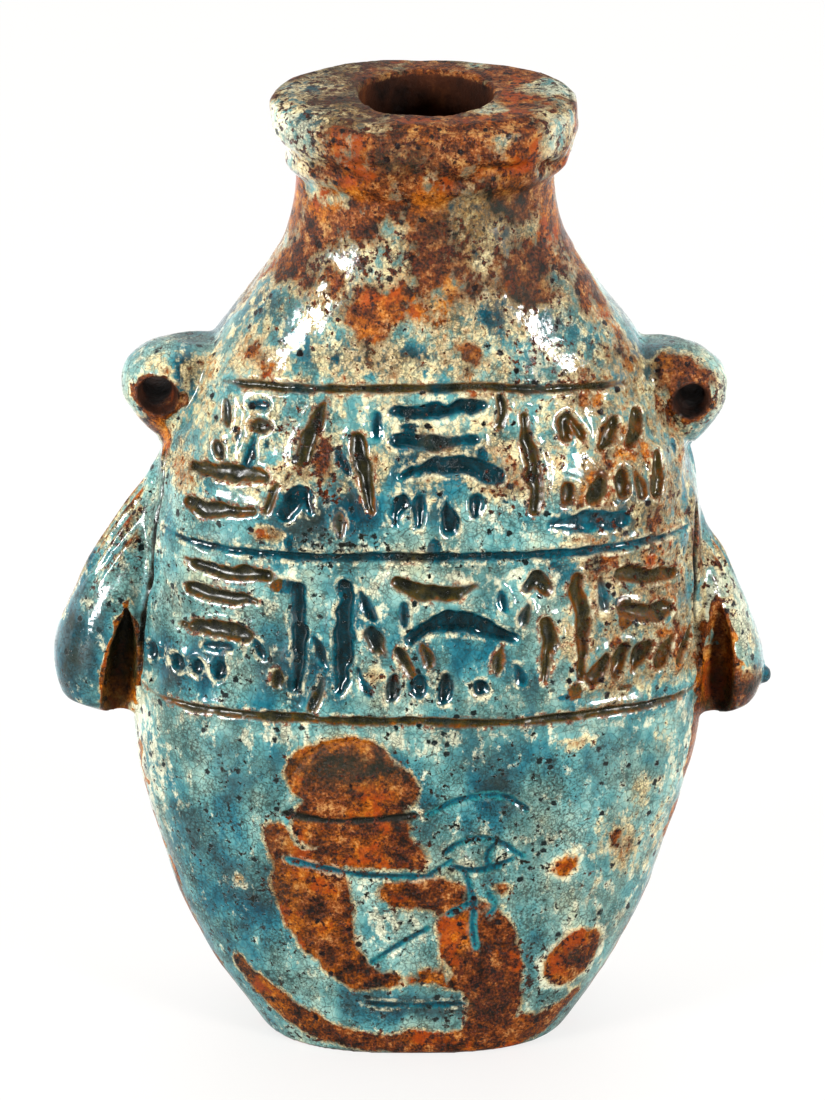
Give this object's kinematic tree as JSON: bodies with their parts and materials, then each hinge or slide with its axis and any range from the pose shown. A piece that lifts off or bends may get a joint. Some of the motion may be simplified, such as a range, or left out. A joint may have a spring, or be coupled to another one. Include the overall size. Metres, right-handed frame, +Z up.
{
  "type": "inscribed jar",
  "caption": "Flattened egg-shaped jar in crackled turquoise glaze with a thick rim, a narrow mouth, pierced shoulder lugs, drooping side lobes and rows of shallow carved strokes.",
  "frame": {"origin": "centre of the flat underside of the foot", "axes": "+Z up through the mouth, the carved front faces -Y, +X to the right of the front"},
  "size_m": [0.1105, 0.048, 0.15],
  "materials": {
    "glazed_body": "glossy crackled turquoise glaze, worn to a rust-brown body in places"
  },
  "bodies": {
    "root": {"jar": "glazed_body"}
  },
  "joints": []
}
